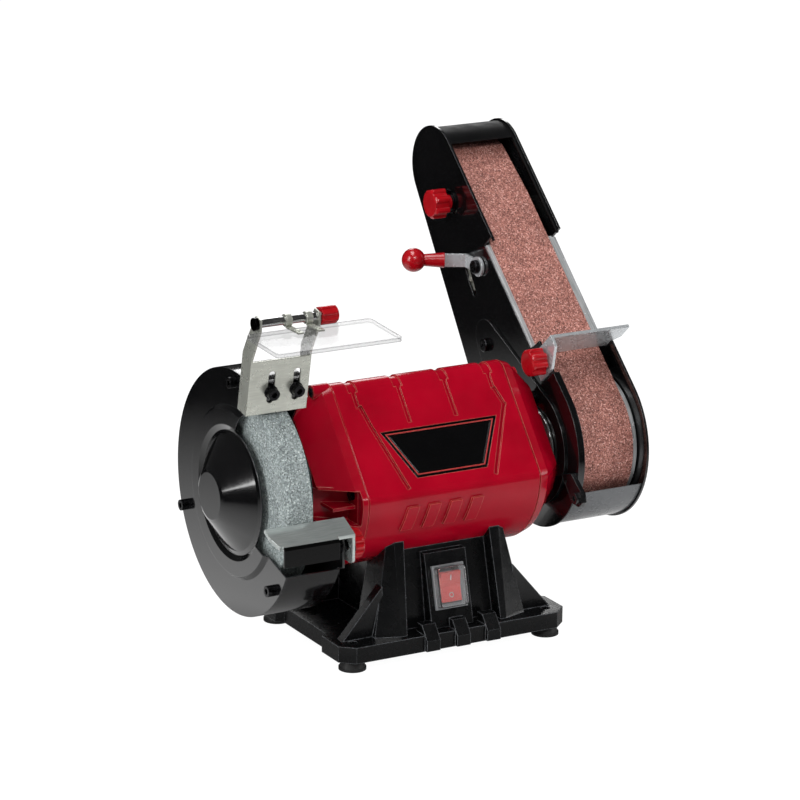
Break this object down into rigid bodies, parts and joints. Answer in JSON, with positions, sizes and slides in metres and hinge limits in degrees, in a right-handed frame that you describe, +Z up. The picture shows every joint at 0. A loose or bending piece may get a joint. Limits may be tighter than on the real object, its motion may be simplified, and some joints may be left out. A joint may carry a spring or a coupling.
{
  "type": "belt grinder",
  "caption": "Bench grinder with an abrasive wheel under a guard on one side and a tilting belt sanding arm on the other, on a cast base with a rocker switch.",
  "frame": {"origin": "centre of the four bench bolt holes, on the bench plane under the feet", "axes": "X runs along the motor shaft from the grinding wheel to the belt, Y to the back, Z up"},
  "size_m": [0.334, 0.2956, 0.3335],
  "materials": {
    "cast_black": "black powder coat over a textured casting",
    "plate_black": "gloss black enamel on sheet steel",
    "shell_grey": "dark grey semi-gloss enamel",
    "rubber": "black moulded rubber",
    "black_plastic": "black moulded plastic",
    "grey_plastic": "grey moulded plastic",
    "red_plastic": "red moulded plastic",
    "clear": "clear polycarbonate",
    "red_paint": "gloss red enamel",
    "black_screw": "black oxide steel",
    "steel": "bright turned steel",
    "copper": "enamelled copper wire",
    "zinc": "zinc-plated sheet steel",
    "grit_stone": "grey vitrified abrasive",
    "grit_belt": "brown-red aluminium oxide grit on cloth",
    "idler_alloy": "turned aluminium"
  },
  "bodies": {
    "root": {"base_casting": "cast_black", "base_bottom_plate": "plate_black", "rubber_feet": "rubber", "cord_gland": "black_plastic", "switch_bezel": "grey_plastic", "switch_cover": "clear", "motor_housing": "red_paint", "left_end_bell": "red_paint", "right_end_bell": "red_paint", "case_screws": "black_screw", "badge_plate": "black_plastic", "stator_core": "steel", "stator_windings": "copper", "bearing_outer_races": "steel", "run_capacitor": "grey_plastic", "guard_outer_cover": "plate_black", "guard_inner_shell": "plate_black", "guard_screws": "black_screw", "bracket_bolts": "black_screw", "tool_rest_screw": "black_screw", "arm_pivot_flange": "steel"},
    "rotor": {"motor_shaft": "steel", "rotor_core": "steel", "bearing_inner_races": "steel", "cooling_fan": "black_plastic", "grinding_wheel": "grit_stone", "wheel_flanges": "steel", "shaft_nuts": "steel", "drive_drum": "steel"},
    "rocker": {"switch_rocker": "red_plastic"},
    "bracket": {"shield_bracket": "zinc", "shield_rod": "steel"},
    "shield": {"eye_shield": "clear", "shield_clips": "zinc"},
    "rod_knob": {"shield_knob": "red_plastic"},
    "rest": {"tool_rest": "zinc"},
    "rest_knob": {"tool_rest_knob": "red_plastic"},
    "arm": {"arm_left_plate": "plate_black", "arm_bracket_plate": "plate_black", "arm_right_plate": "plate_black", "arm_top_cover": "plate_black", "arm_lower_shell": "shell_grey", "belt_side_guard": "plate_black", "clamp_lug": "black_plastic", "arm_screws": "black_screw", "platen": "steel", "sanding_belt": "grit_belt", "tension_spring": "steel", "tracking_screw": "black_screw", "work_rest_screw": "black_screw"},
    "carriage": {"idler_carriage": "zinc", "idler_axle": "steel"},
    "idler": {"idler_roller": "idler_alloy", "idler_bearings": "steel"},
    "lever": {"tension_lever": "zinc", "lever_grip": "red_plastic"},
    "track_knob": {"tracking_knob": "red_plastic"},
    "belt_rest": {"work_rest": "zinc"},
    "belt_rest_knob": {"work_rest_knob": "red_plastic"}
  },
  "joints": [
    {"name": "rotor_spin", "type": "hinge", "parent": "root", "child": "rotor", "pos_m": [0, 0, 0.1245], "axis": [1, 0, 0], "continuous": true},
    {"name": "arm_tilt", "type": "hinge", "parent": "root", "child": "arm", "pos_m": [0.1, 0, 0.1245], "axis": [1, 0, 0], "range_deg": [-48.5, 41.5]},
    {"name": "carriage_slide", "type": "slide", "parent": "arm", "child": "carriage", "axis": [0, 0.6626, 0.749], "range_m": [-0.004, 0], "stiffness_N_per_m": 1500, "springref_m": 0.004},
    {"name": "idler_spin", "type": "hinge", "parent": "carriage", "child": "idler", "pos_m": [0.133, 0.15406, 0.29863], "axis": [1, 0, 0], "continuous": true},
    {"name": "lever_swing", "type": "hinge", "parent": "arm", "child": "lever", "pos_m": [0.102, 0.08427, 0.24088], "axis": [1, 0, 0], "range_deg": [0, 30.1]},
    {"name": "tracking_turn", "type": "hinge", "parent": "arm", "child": "track_knob", "pos_m": [0.09, 0.12786, 0.28109], "axis": [1, 0, 0], "range_deg": [-180, 180]},
    {"name": "belt_rest_slide", "type": "slide", "parent": "arm", "child": "belt_rest", "axis": [0, -0.749, 0.6626], "range_m": [0, 0.006]},
    {"name": "belt_rest_knob_turn", "type": "hinge", "parent": "arm", "child": "belt_rest_knob", "pos_m": [0.093, -0.01336, 0.1924], "axis": [1, 0, 0], "range_deg": [0, 360]},
    {"name": "tool_rest_slide", "type": "slide", "parent": "root", "child": "rest", "axis": [0, -1, 0], "range_m": [-0.0015, 0.004]},
    {"name": "tool_rest_knob_turn", "type": "hinge", "parent": "root", "child": "rest_knob", "pos_m": [-0.09, -0.082, 0.103], "axis": [1, 0, 0], "range_deg": [0, 360]},
    {"name": "bracket_slide", "type": "slide", "parent": "root", "child": "bracket", "axis": [0, -0.1908, 0.9816], "range_m": [0, 0.006]},
    {"name": "shield_swing", "type": "hinge", "parent": "bracket", "child": "shield", "pos_m": [-0.13, -0.055, 0.262], "axis": [1, 0, 0], "range_deg": [-75, 15]},
    {"name": "shield_knob_turn", "type": "hinge", "parent": "bracket", "child": "rod_knob", "pos_m": [-0.1, -0.055, 0.262], "axis": [1, 0, 0], "range_deg": [0, 360]},
    {"name": "switch_press", "type": "hinge", "parent": "root", "child": "rocker", "pos_m": [0, -0.0546, 0.0482], "axis": [1, 0, 0], "range_deg": [-14, 0]}
  ],
  "couplings": [
    {"joint": "lever_swing", "follows": "carriage_slide", "rad_per_m": -130.9},
    {"joint": "idler_spin", "follows": "rotor_spin", "ratio": 2.5385}
  ]
}
